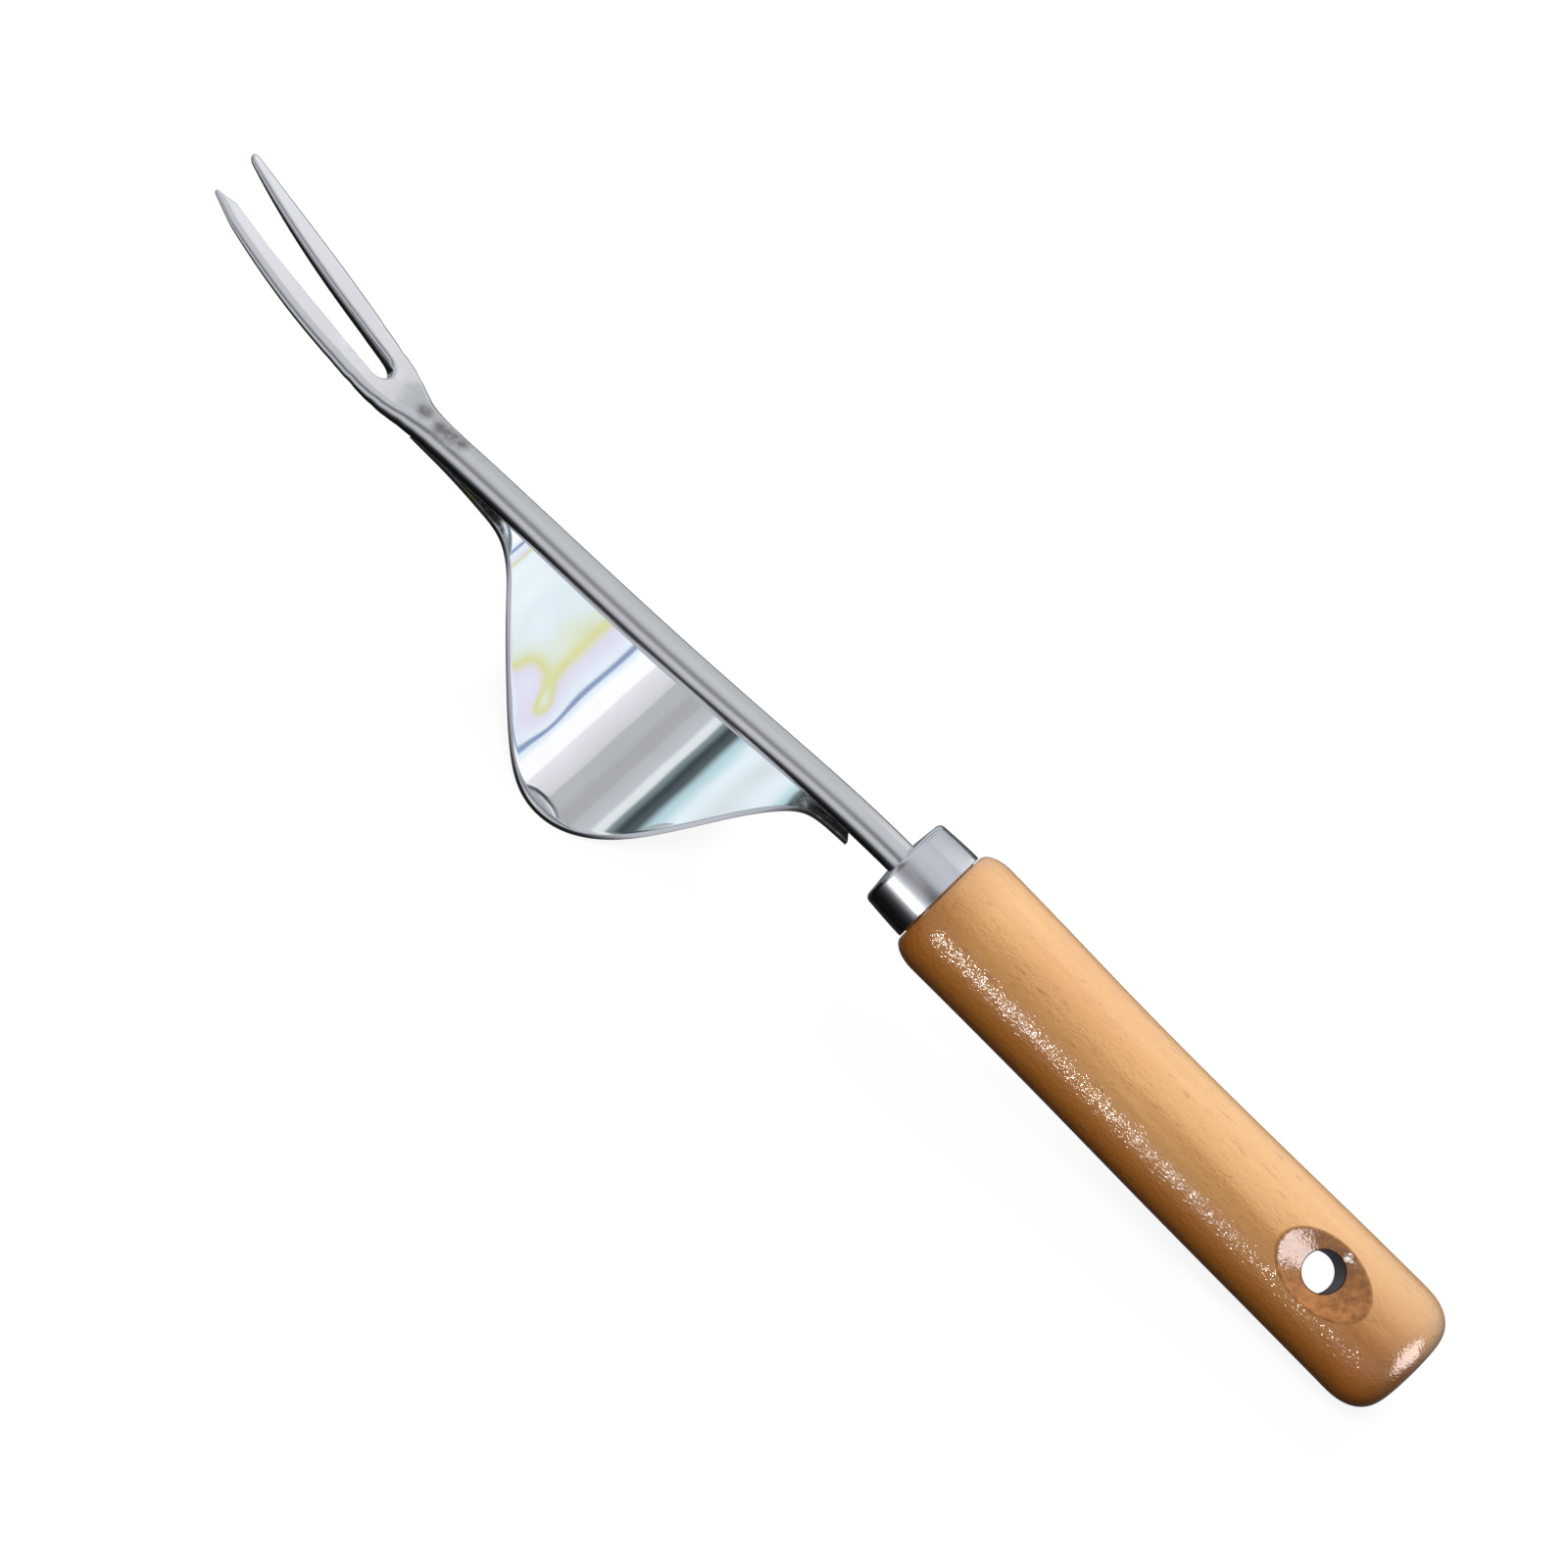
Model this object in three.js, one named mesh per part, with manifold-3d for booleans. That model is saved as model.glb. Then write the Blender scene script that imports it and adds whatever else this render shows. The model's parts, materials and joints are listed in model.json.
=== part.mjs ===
// Hand weeder: a two-tined forged fork on a round shaft, an arched leaf plate welded under the shaft
// as the fulcrum, a steel ferrule and a turned wooden handle with a countersunk hanging hole.
// Millimetres. Tool frame: +X from the butt to the tips, +Y to the left, +Z to the front face of the
// fork. Stations are given as the distance back from the tips. At the end the tool is tilted until
// the belly of the plate and the butt of the handle both rest on z = 0.
import * as THREE from "three";
import { mergeVertices } from "three/addons/utils/BufferGeometryUtils.js";
import Module from "manifold-3d";

const LENGTH = 320.5;
const FIT = 0.15;

// Forged bar: station, height of its centre line, half width, half thickness, radius of its outer edge.
const BLADE = [
  [-3, 2.1, 7.9, 0.6, 0.5],
  [0, 1.1, 8.1, 0.7, 0.6],
  [6, -0.6, 8.6, 0.95, 0.8],
  [16, -3.0, 9.1, 1.2, 0.9],
  [27, -5.2, 9.15, 1.35, 1.0],
  [37, -6.8, 8.5, 1.45, 1.1],
  [45, -8.2, 7.7, 1.6, 1.3],
  [50, -9.0, 6.6, 1.9, 1.8],
  [54, -9.4, 5.1, 2.4, 2.4],
  [58, -9.6, 3.8, 3.0, 3.0],
  [63, -9.4, 3.42, 3.4, 3.4],
  [70, -8.8, 3.4, 3.4, 3.4],
  [80, -8.1, 3.4, 3.4, 3.4],
  [95, -7.4, 3.5, 3.55, 3.5],
  [113, -6.4, 3.6, 3.7, 3.6],
  [128, -5.2, 3.6, 3.7, 3.6],
  [142, -3.6, 3.5, 3.55, 3.5],
  [156, -1.9, 3.4, 3.4, 3.4],
  [170, -0.5, 3.4, 3.4, 3.4],
  [184, 0, 3.4, 3.4, 3.4],
  [200, 0, 3.4, 3.4, 3.4],
  [225, 0, 3.4, 3.4, 3.4],
  [250, 0, 3.4, 3.4, 3.4],
];
const TANG_END = 250;
// The right tine is the longer one and ends round, the left one ends in a point cut from inside.
const ROUND_TIP = { start: -1.5, y: 7.0, r: 1.4 };
const CUT_TIP = { start: -0.35, y: 6.7, r: 0.4, length: 4.25, inner: 6.35, taper: 0.95, bulge: 0.7 };
const NECK_SWELL = 0.5;
const SLOT_R = 2.8;
const SLOT_CENTRE = 44.4;
const SLOT_EDGE_R = 0.35;

// Leaf plate: station, depth of its middle surface below the centre line of the shaft, half width.
const PLATE_T = 1.2;
const PLATE = [
  [58, 4.5, 0.5],
  [63, 4.5, 0.6],
  [68, 4.5, 0.95],
  [74, 4.5, 1.75],
  [79, 4.5, 2.5],
  [84.5, 4.9, 3.1],
  [90, 8.1, 5.1],
  [95, 12.1, 9.1],
  [101, 16.2, 13.6],
  [107, 20.3, 17.8],
  [114, 25.0, 22.6],
  [121, 28.9, 26.3],
  [128, 29.8, 27.4],
  [135, 28.9, 26.1],
  [142, 25.7, 21.8],
  [148, 20.1, 15.3],
  [153, 14.4, 9.7],
  [157.5, 9.5, 5.7],
  [162, 5.2, 3.4],
  [166, 4.5, 3.0],
  [169, 4.5, 2.9],
  [171.5, 4.5, 2.8],
];
const TAIL_SLANT = 0.6;

const WELD_FRONT = [69, 79];
const WELD_REAR = [161.5, 169];
const WELD_HALF_W = 1.3;

const FERRULE_R = 10.6;
const FERRULE_FRONT_R = 10.15;
const FERRULE_DOME = 0.5;
const FERRULE_WALL = 1.4;
const FERRULE_FRONT = 182.4;
const FERRULE_REAR = 193.0;
const FERRULE_EDGE_R = 1.3;

const BORE_R = 4.6;
const BORE_END = 251;
const GLUE_FRONT = 186;
const GLUE_END = 249;

// Handle: station and radius between the rounded shoulder and the rounded butt.
const GRIP = [
  [199, 13.46],
  [207, 13.38],
  [218, 13.26],
  [236, 13.05],
  [262, 13.28],
  [282, 13.5],
  [300, 13.68],
  [311, 13.75],
];
const BOW = 0.35;
const DRIFT = -0.45;
const SHOULDER = [193.2, 10.6];
const BUTT_FLAT_R = 6.2;
const BUTT_POWER = 2.4;

// Hanging hole: station, turn of its axis about the tool, how far it misses the middle of the handle.
const HOLE_AT = 294.7;
const HOLE_TURN = THREE.MathUtils.degToRad(41);
const HOLE_MISS = 1.4;
const HOLE_R = 4.2;
const DISH_FLOOR = 10.3;
const DISH_SLOPE = 1.94;

const wasm = await Module();
wasm.setup();

// A point of the tool from its distance back from the tips.
function at(station, y, z) {
  return new THREE.Vector3(LENGTH / 2 - station, y, z);
}

// The row at share t of the smooth curve that the stations steer.
function steer(rows, t) {
  const knots = [rows[0], rows[0], ...rows, rows.at(-1), rows.at(-1)];
  const spans = knots.length - 3;
  const at = Math.min(t * spans, spans - 1e-9);
  const i = Math.floor(at);
  const u = at - i;
  const w = [
    (1 - u) ** 3 / 6,
    (3 * u ** 3 - 6 * u ** 2 + 4) / 6,
    (-3 * u ** 3 + 3 * u ** 2 + 3 * u + 1) / 6,
    u ** 3 / 6,
  ];
  return rows[0].map((_, c) => w.reduce((sum, wk, k) => sum + wk * knots[i + k][c], 0));
}

// The same curve as a function of the station.
function byStation(rows) {
  return (station) => {
    let lo = 0;
    let hi = 1;
    for (let i = 0; i < 40; i++) {
      const mid = (lo + hi) / 2;
      if (steer(rows, mid)[0] < station) lo = mid;
      else hi = mid;
    }
    return steer(rows, hi);
  };
}

const blade = byStation(BLADE);
const grip = byStation(GRIP);

// A closed geometry from its quads, with the collapsed triangles left out.
function fromQuads(quads) {
  const points = [];
  for (const [a, b, c, d] of quads) {
    for (const tri of [[a, b, c], [a, c, d]]) {
      const [p, q, r] = tri;
      if (p.distanceTo(q) < 1e-4 || q.distanceTo(r) < 1e-4 || r.distanceTo(p) < 1e-4) continue;
      points.push(...tri);
    }
  }
  return new THREE.BufferGeometry().setFromPoints(points);
}

// A closed geometry through rings with the same number of points, flat at both ends.
function loft(rings) {
  const n = rings[0].length;
  const quads = [];
  for (let i = 1; i < rings.length; i++) {
    for (let k = 0; k < n; k++) {
      const m = (k + 1) % n;
      quads.push([rings[i - 1][k], rings[i - 1][m], rings[i][m], rings[i][k]]);
    }
  }
  const middle = (ring) => ring.reduce((s, p) => s.clone().add(p), new THREE.Vector3()).divideScalar(n);
  const first = middle(rings[0]);
  const last = middle(rings.at(-1));
  for (let k = 0; k < n; k++) {
    const m = (k + 1) % n;
    quads.push([first, rings[0][m], rings[0][k], first]);
    quads.push([last, rings.at(-1)[k], rings.at(-1)[m], last]);
  }
  return fromQuads(quads);
}

function toSolid(geometry) {
  const bare = geometry.index ? geometry.toNonIndexed() : geometry.clone();
  bare.deleteAttribute("normal");
  bare.deleteAttribute("uv");
  const merged = mergeVertices(bare, 1e-4);
  return new wasm.Manifold(
    new wasm.Mesh({
      numProp: 3,
      vertProperties: merged.attributes.position.array,
      triVerts: new Uint32Array(merged.index.array),
    }),
  );
}

function toGeometry(solid) {
  const mesh = solid.getMesh();
  return new THREE.BufferGeometry()
    .setAttribute("position", new THREE.BufferAttribute(mesh.vertProperties, 3))
    .setIndex(new THREE.BufferAttribute(mesh.triVerts, 1));
}

// A ring of a round bar about the tool's own axis line.
function ring(station, radius, count, shift = 0) {
  const side = shift * Math.SQRT1_2;
  return Array.from({ length: count }, (_, k) => {
    const a = (-2 * Math.PI * k) / count;
    return at(station, side + radius * Math.cos(a), -side + radius * Math.sin(a));
  });
}

// Half gap between the tines, before the tips round off.
function halfGap(station) {
  if (station > SLOT_CENTRE) {
    return Math.sqrt(Math.max(0, SLOT_R ** 2 - (station - SLOT_CENTRE) ** 2));
  }
  const t = (SLOT_CENTRE - station) / SLOT_CENTRE;
  return SLOT_R + 1.3 * t + 1.5 * t ** 3;
}

const quarter = (d, r) => Math.sqrt(Math.max(0, 1 - (1 - Math.min(d / r, 1)) ** 2));

// Inner and outer edge of the tine, neck or shaft on one side.
function tineEdges(station, side) {
  const { smoothstep } = THREE.MathUtils;
  const tip = side > 0 ? CUT_TIP : ROUND_TIP;
  const past = station - tip.start;
  let outer = blade(station)[2];
  let inner = halfGap(station);
  if (side > 0) {
    outer -= tip.taper * Math.max(0, 1 - past / 7);
    const corner = inner - tip.bulge * (1 - smoothstep(station, 3, 16));
    const share = Math.min(1, past / tip.length);
    inner = tip.inner + (corner - tip.inner) * share;
  } else {
    outer += NECK_SWELL * Math.exp(-(((station - 51) / 5) ** 2));
  }
  if (past >= tip.r) return [inner, outer];
  const s = Math.sqrt(Math.max(0, 1 - (1 - past / tip.r) ** 2));
  return [tip.y + (inner - tip.y) * s, tip.y + (outer - tip.y) * s];
}

function bladeStations(side) {
  const cut = [-0.35, -0.32, -0.2, 0.05, 0.9, 2.2, 3.3, 3.9, 4.6, 6.4];
  const round = [-2.6, -2.49, -2.18, -1.74, -1.2, 0.2, 1.9, 3.9, 6.4];
  const tines = Array.from({ length: 11 }, (_, i) => 9.5 + (34.9 * i) / 10);
  const root = [15, 30, 45, 60, 75, 90].map(
    (a) => SLOT_CENTRE + SLOT_R * Math.sin(THREE.MathUtils.degToRad(a)),
  );
  const neck = [47.5, 48.2, 49.4, 51, 52.8, 54.6, 56.4, 58.4, 60.6, 63, 66];
  const shaft = Array.from({ length: 15 }, (_, i) => 74 + 8 * i);
  return [...(side > 0 ? cut : round), ...tines, ...root, ...neck, ...shaft, 200, 225, TANG_END];
}

function forkBlade() {
  const cells = 8;
  const end = SLOT_CENTRE + SLOT_R;
  const rowsOf = (side) => bladeStations(side).map((station) => {
    const [, z, , half, edge] = blade(station);
    const [inner, outer] = tineEdges(station, side);
    const plain = THREE.MathUtils.smoothstep(station, end, 62);
    return Array.from({ length: cells + 1 }, (_, k) => {
      const q = k / cells;
      const both = (1 - Math.cos(Math.PI * q)) / 2;
      const y = inner + (outer - inner) * (both + plain * (Math.sin((Math.PI * q) / 2) - both));
      let clear = station < SLOT_CENTRE ? y - inner : Math.hypot(station - SLOT_CENTRE, y) - SLOT_R;
      if (clear < 1e-5) clear = 0;
      const rise = half * quarter(outer - y, edge) * quarter(clear, SLOT_EDGE_R);
      return { station, y, top: z + rise, low: z - rise };
    });
  });
  const quads = [];
  for (const side of [1, -1]) {
    const rows = rowsOf(side);
    const corner = (p, level) => at(p.station, side * p.y, p[level]);
    for (let i = 1; i < rows.length; i++) {
      for (let k = 0; k < cells; k++) {
        const four = [rows[i - 1][k], rows[i][k], rows[i][k + 1], rows[i - 1][k + 1]];
        const top = four.map((p) => corner(p, "top"));
        const low = four.map((p) => corner(p, "low")).reverse();
        quads.push(side > 0 ? top.reverse() : top, side > 0 ? low.reverse() : low);
      }
    }
    const last = rows.at(-1);
    for (let k = 0; k < cells; k++) {
      const face = [
        corner(last[k], "top"),
        corner(last[k], "low"),
        corner(last[k + 1], "low"),
        corner(last[k + 1], "top"),
      ];
      quads.push(side > 0 ? face.reverse() : face);
    }
  }
  return fromQuads(quads);
}

// The middle line of the plate with its unit normal, which points to the shaft.
function plateLine(t) {
  const place = (s) => {
    const [station, depth, half] = steer(PLATE, s);
    return { p: at(station, 0, blade(station)[1] - depth), half };
  };
  const here = place(t);
  const along = place(Math.min(1, t + 1e-3)).p.sub(place(Math.max(0, t - 1e-3)).p).normalize();
  return { ...here, along, normal: new THREE.Vector3(along.z, 0, -along.x).normalize() };
}

function fulcrumPlate() {
  const count = 84;
  const rings = Array.from({ length: count + 1 }, (_, i) => {
    const { p, half, normal, along } = plateLine(i / count);
    const slant = TAIL_SLANT * half * THREE.MathUtils.smoothstep(i / count, 0.9, 1);
    return [[1, -1], [-1, -1], [-1, 1], [1, 1]].map(([y, n]) =>
      p
        .clone()
        .addScaledVector(normal, (n * PLATE_T) / 2)
        .addScaledVector(along, y * slant)
        .add(new THREE.Vector3(0, y * half, 0)),
    );
  });
  return loft(rings);
}

// Weld metal between the round shaft and the flat tab of the plate.
function weld([from, to]) {
  const count = 8;
  const cells = 10;
  const rings = Array.from({ length: count + 1 }, (_, i) => {
    const share = i / count;
    const station = from + (to - from) * share;
    const z = blade(station)[1];
    const half = WELD_HALF_W * (0.72 + 0.28 * Math.sin(Math.PI * share));
    const floor = z - 4.5 + PLATE_T / 2 + FIT;
    const upper = [];
    const lower = [];
    for (let k = 0; k <= cells; k++) {
      const y = half * (1 - (2 * k) / cells);
      const roof = z - Math.sqrt((3.4 + FIT) ** 2 - y ** 2);
      upper.push(at(station, y, Math.max(roof, floor + 0.15)));
      lower.unshift(at(station, y, floor));
    }
    return [...upper, ...lower].reverse();
  });
  return loft(rings);
}

// A turned body from its outline of station and radius, closed on itself or at the axis.
function turned(outline, count) {
  const points = outline.map(([station, radius]) => new THREE.Vector2(radius, station)).reverse();
  const g = new THREE.LatheGeometry(points, count);
  g.rotateZ(Math.PI / 2);
  g.translate(LENGTH / 2, 0, 0);
  return g;
}

function arc(cx, cy, r, from, to, steps) {
  return Array.from({ length: steps + 1 }, (_, i) => {
    const a = THREE.MathUtils.degToRad(from + ((to - from) * i) / steps);
    return [cx + r * Math.cos(a), cy + r * Math.sin(a)];
  });
}

function ferrule() {
  const inner = FERRULE_R - FERRULE_WALL;
  const hole = 3.4 + FIT;
  const front = FERRULE_FRONT;
  const edge = FERRULE_EDGE_R;
  const outline = [
    [front + FERRULE_WALL, hole],
    [front + FERRULE_WALL, inner - 0.6],
    [front + FERRULE_WALL + 0.6, inner],
    [FERRULE_REAR, inner],
    ...arc(FERRULE_REAR - 0.3, FERRULE_R - 0.3, 0.3, 0, 90, 3),
    ...arc(front + FERRULE_DOME + edge, FERRULE_FRONT_R - edge, edge, 92, 176, 7),
    ...arc(front + 0.4, hole + 0.4, 0.4, 180, 270, 3),
    [front + FERRULE_WALL, hole],
  ];
  return turned(outline, 64);
}

function tangGlue() {
  const inner = 3.4 + FIT;
  const outer = BORE_R - FIT;
  return turned(
    [
      [GLUE_FRONT, inner],
      [GLUE_END, inner],
      [GLUE_END, outer],
      [GLUE_FRONT, outer],
      [GLUE_FRONT, inner],
    ],
    40,
  );
}

function handleOutline() {
  const spigot = FERRULE_R - FERRULE_WALL - FIT;
  const start = FERRULE_FRONT + FERRULE_WALL + FIT;
  const [sx, sr] = SHOULDER;
  const [gx, gr] = grip(GRIP[0][0]);
  const [bx, br] = grip(GRIP.at(-1)[0]);
  const shoulder = [0, 0.03, 0.12, 0.28, 0.5, 0.75].map((q) => [
    sx + (gx - sx) * q,
    sr + (gr - sr) * Math.sqrt(1 - (1 - q) ** 2),
  ]);
  const body = Array.from({ length: 15 }, (_, i) => grip(gx + ((bx - gx) * i) / 14));
  const butt = [12, 25, 38, 50, 60, 70, 79, 90].map((deg) => {
    const a = THREE.MathUtils.degToRad(deg);
    return [
      bx + (LENGTH - bx) * Math.sin(a) ** (2 / BUTT_POWER),
      BUTT_FLAT_R + (br - BUTT_FLAT_R) * Math.cos(a) ** (2 / BUTT_POWER),
    ];
  });
  butt[butt.length - 1] = [LENGTH, BUTT_FLAT_R];
  return [[start, spigot - 0.6], [start + 0.6, spigot], [sx, spigot], ...shoulder, ...body, ...butt];
}

function hangingHole() {
  const reach = 18;
  const slope = (z) => HOLE_R + (z - DISH_FLOOR) * DISH_SLOPE;
  const half = [
    [0, reach],
    [slope(reach), reach],
    [slope(DISH_FLOOR + 0.5), DISH_FLOOR + 0.5],
    [slope(DISH_FLOOR + 0.14), DISH_FLOOR + 0.1],
    [HOLE_R, DISH_FLOOR - 0.3],
  ];
  const down = half.map(([r, z]) => [r, -z]);
  const points = [...down, ...half.reverse()].map(([r, z]) => new THREE.Vector2(r, z));
  const g = new THREE.LatheGeometry(points, 56);
  g.rotateX(Math.PI / 2);
  g.translate(0, -HOLE_MISS, 0);
  g.rotateX(-HOLE_TURN);
  g.translate(LENGTH / 2 - HOLE_AT, 0, 0);
  return g;
}

function handle() {
  const rings = handleOutline().map(([station, radius]) => {
    const share = THREE.MathUtils.clamp((station - 199) / 112, 0, 1);
    return ring(station, radius, 72, BOW * Math.sin(Math.PI * share) ** 2 + DRIFT * share);
  });
  const bore = turned([[BORE_END, 0], [BORE_END, BORE_R], [180, BORE_R], [180, 0]], 40);
  return toGeometry(toSolid(loft(rings)).subtract(toSolid(bore)).subtract(toSolid(hangingHole())));
}

const tool = new THREE.Group();
tool.name = "hand_weeder";

function add(name, geometry, color, roughness, metalness) {
  const material = new THREE.MeshStandardMaterial({ color, roughness, metalness });
  const mesh = new THREE.Mesh(geometry, material);
  mesh.name = name;
  tool.add(mesh);
  return mesh;
}

const handleMesh = add("handle", handle(), 0xc88a4c, 0.3, 0);
add("ferrule", ferrule(), 0xb9bcc2, 0.2, 1);
add("fork_blade", forkBlade(), 0xc9ccd0, 0.12, 1);
const plateMesh = add("fulcrum_plate", fulcrumPlate(), 0xd2d6dc, 0.06, 1);
add("weld_front", weld(WELD_FRONT), 0x8f9296, 0.45, 1);
add("weld_rear", weld(WELD_REAR), 0x8f9296, 0.45, 1);
add("tang_glue", tangGlue(), 0xb89a62, 0.5, 0);

// The lowest height of a mesh once the tool is tilted.
function lowest(mesh, tilt) {
  const p = mesh.geometry.getAttribute("position");
  let low = Infinity;
  for (let i = 0; i < p.count; i++) {
    low = Math.min(low, p.getZ(i) * Math.cos(tilt) + p.getX(i) * Math.sin(tilt));
  }
  return low;
}

// The tilt that brings the plate and the butt down to the same height.
function restTilt() {
  let lo = 0;
  let hi = 0.3;
  for (let i = 0; i < 50; i++) {
    const mid = (lo + hi) / 2;
    if (lowest(plateMesh, mid) < lowest(handleMesh, mid)) lo = mid;
    else hi = mid;
  }
  return (lo + hi) / 2;
}

const tilt = restTilt();
tool.rotation.y = -tilt;
tool.position.z = -lowest(plateMesh, tilt);
tool.position.x = -new THREE.Box3().setFromObject(tool, true).getCenter(new THREE.Vector3()).x;

export default tool;
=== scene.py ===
import json
import math

import bpy
import numpy as np
from mathutils import Matrix, Vector


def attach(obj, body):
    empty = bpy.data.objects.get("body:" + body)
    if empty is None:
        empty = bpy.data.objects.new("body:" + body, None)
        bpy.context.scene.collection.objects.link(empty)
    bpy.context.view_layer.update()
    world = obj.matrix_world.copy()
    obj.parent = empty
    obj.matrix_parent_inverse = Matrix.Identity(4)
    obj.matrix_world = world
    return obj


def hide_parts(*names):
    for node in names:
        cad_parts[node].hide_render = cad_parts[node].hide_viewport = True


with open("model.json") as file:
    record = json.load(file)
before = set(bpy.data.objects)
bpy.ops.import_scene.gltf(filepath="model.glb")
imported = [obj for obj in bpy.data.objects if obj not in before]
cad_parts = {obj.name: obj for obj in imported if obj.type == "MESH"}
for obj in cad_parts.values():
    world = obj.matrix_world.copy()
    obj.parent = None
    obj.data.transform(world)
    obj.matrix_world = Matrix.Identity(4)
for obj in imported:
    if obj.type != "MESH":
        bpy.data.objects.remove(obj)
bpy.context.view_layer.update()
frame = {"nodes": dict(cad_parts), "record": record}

MM = 0.001
LENGTH = 320.5

# The tool's own frame, from the flat end of the handle: +X to the tips, +Y left, +Z the front face.
BUTT = next(m for m in frame["record"]["mounts"] if m["name"] == "butt_face")
TOOL_X = -Vector(BUTT["axis"]).normalized()
TOOL_Y = Vector((0, 1, 0))
TOOL_Z = TOOL_X.cross(TOOL_Y)
DRIFT = -0.45
BUTT_SIDE = DRIFT * math.sqrt(0.5) * MM
TOOL_O = Vector(BUTT["pos_m"]) + TOOL_X * (LENGTH / 2 * MM) - TOOL_Y * BUTT_SIDE + TOOL_Z * BUTT_SIDE
X_AXIS, Y_AXIS, Z_AXIS, ORIGIN = (np.array(v) for v in (TOOL_X, TOOL_Y, TOOL_Z, TOOL_O))


def place(station, y, z):
    """Points of the tool, from distance back from the tips, left and front, in millimetres."""
    x, y, z = np.broadcast_arrays(LENGTH / 2 - np.asarray(station, float), y, z)
    return ORIGIN + MM * (x[..., None] * X_AXIS + y[..., None] * Y_AXIS + z[..., None] * Z_AXIS)


# ---------------------------------------------------------------- curves

# Station, height of the middle, half width, half thickness and edge radius of the bar.
BLADE = np.array([
    [-3, 2.1, 7.9, 0.6, 0.5],
    [0, 1.1, 8.1, 0.7, 0.6],
    [6, -0.6, 8.6, 0.95, 0.8],
    [16, -3.0, 9.1, 1.2, 0.9],
    [27, -5.2, 9.15, 1.35, 1.0],
    [37, -6.8, 8.5, 1.45, 1.1],
    [45, -8.2, 7.7, 1.6, 1.3],
    [50, -9.0, 6.6, 1.9, 1.8],
    [54, -9.4, 5.1, 2.4, 2.4],
    [58, -9.6, 3.8, 3.0, 3.0],
    [63, -9.4, 3.42, 3.4, 3.4],
    [70, -8.8, 3.4, 3.4, 3.4],
    [80, -8.1, 3.4, 3.4, 3.4],
    [95, -7.4, 3.5, 3.55, 3.5],
    [113, -6.4, 3.6, 3.7, 3.6],
    [128, -5.2, 3.6, 3.7, 3.6],
    [142, -3.6, 3.5, 3.55, 3.5],
    [156, -1.9, 3.4, 3.4, 3.4],
    [170, -0.5, 3.4, 3.4, 3.4],
    [184, 0, 3.4, 3.4, 3.4],
    [200, 0, 3.4, 3.4, 3.4],
    [225, 0, 3.4, 3.4, 3.4],
    [250, 0, 3.4, 3.4, 3.4],
])
ROUND_TIP = dict(start=-1.5, y=7.0, r=1.4)
CUT_TIP = dict(start=-0.35, y=6.7, r=0.4, length=4.25, inner=6.35, taper=0.95, taper_length=7, bulge=0.7)
NECK_SWELL = dict(at=51, size=0.5, length=5)
SLOT_R = 2.8
SLOT_CENTRE = 44.4
SLOT_EDGE_R = 0.75

PLATE_T = 1.2
PLATE_RIM_R = 0.14
# Station, depth below the middle of the bar and half width of the sheet.
PLATE = np.array([
    [58, 4.5, 0.5],
    [63, 4.5, 0.6],
    [68, 4.5, 0.95],
    [74, 4.5, 1.75],
    [79, 4.5, 2.5],
    [84.5, 4.9, 3.1],
    [90, 8.1, 5.1],
    [95, 12.1, 9.1],
    [101, 16.2, 13.6],
    [107, 20.3, 17.8],
    [114, 25.0, 22.6],
    [121, 28.9, 26.3],
    [128, 29.8, 27.4],
    [135, 28.9, 26.1],
    [142, 25.7, 21.8],
    [148, 20.1, 15.3],
    [153, 14.4, 9.7],
    [157.5, 9.5, 5.7],
    [162, 5.2, 3.4],
    [166, 4.5, 3.0],
    [169, 4.5, 2.9],
    [171.5, 4.5, 2.8],
])
TAIL_SLANT = 0.6

# Station and radius of the grip, between its rounded ends.
GRIP = np.array([
    [199, 13.46],
    [207, 13.38],
    [218, 13.26],
    [236, 13.05],
    [262, 13.28],
    [282, 13.5],
    [300, 13.68],
    [311, 13.75],
])


def steer(rows, t):
    """Rows at shares t of the smooth curve that the stations steer."""
    knots = np.vstack([rows[:1], rows[:1], rows, rows[-1:], rows[-1:]])
    spans = len(knots) - 3
    at = np.minimum(np.asarray(t, float) * spans, spans - 1e-9)
    i = at.astype(int)
    u = (at - i)[..., None]
    return (
        (1 - u) ** 3 / 6 * knots[i]
        + (3 * u**3 - 6 * u**2 + 4) / 6 * knots[i + 1]
        + (-3 * u**3 + 3 * u**2 + 3 * u + 1) / 6 * knots[i + 2]
        + u**3 / 6 * knots[i + 3]
    )


def by_station(rows):
    """A function that gives the smooth curve's row at any station."""
    fine = steer(rows, np.linspace(0, 1, 6001))

    def row_at(station):
        return np.stack([np.interp(station, fine[:, 0], column) for column in fine.T], -1)

    return row_at


blade = by_station(BLADE)
grip = by_station(GRIP)


def smoothstep(x, lo, hi):
    q = np.clip((np.asarray(x, float) - lo) / (hi - lo), 0, 1)
    return q * q * (3 - 2 * q)


def quarter(d, r):
    """The share that a round edge of radius r has risen at a distance d from its rim."""
    return np.sqrt(np.maximum(0, 1 - (1 - np.minimum(d / r, 1)) ** 2))


# ---------------------------------------------------------------- meshes

def merged(name, points, faces):
    """An object from points and faces, with equal points merged."""
    flat = np.round(np.asarray(points, float).reshape(-1, 3), 8)
    uniq, inverse = np.unique(flat, axis=0, return_inverse=True)
    inverse = inverse.reshape(-1)
    corners = [list(dict.fromkeys(int(i) for i in inverse[np.asarray(f)])) for f in faces]
    mesh = bpy.data.meshes.new(name)
    mesh.from_pydata(uniq.tolist(), [], [c for c in corners if len(c) > 2])
    mesh.update()
    obj = bpy.data.objects.new(name, mesh)
    bpy.context.scene.collection.objects.link(obj)
    return obj


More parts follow.
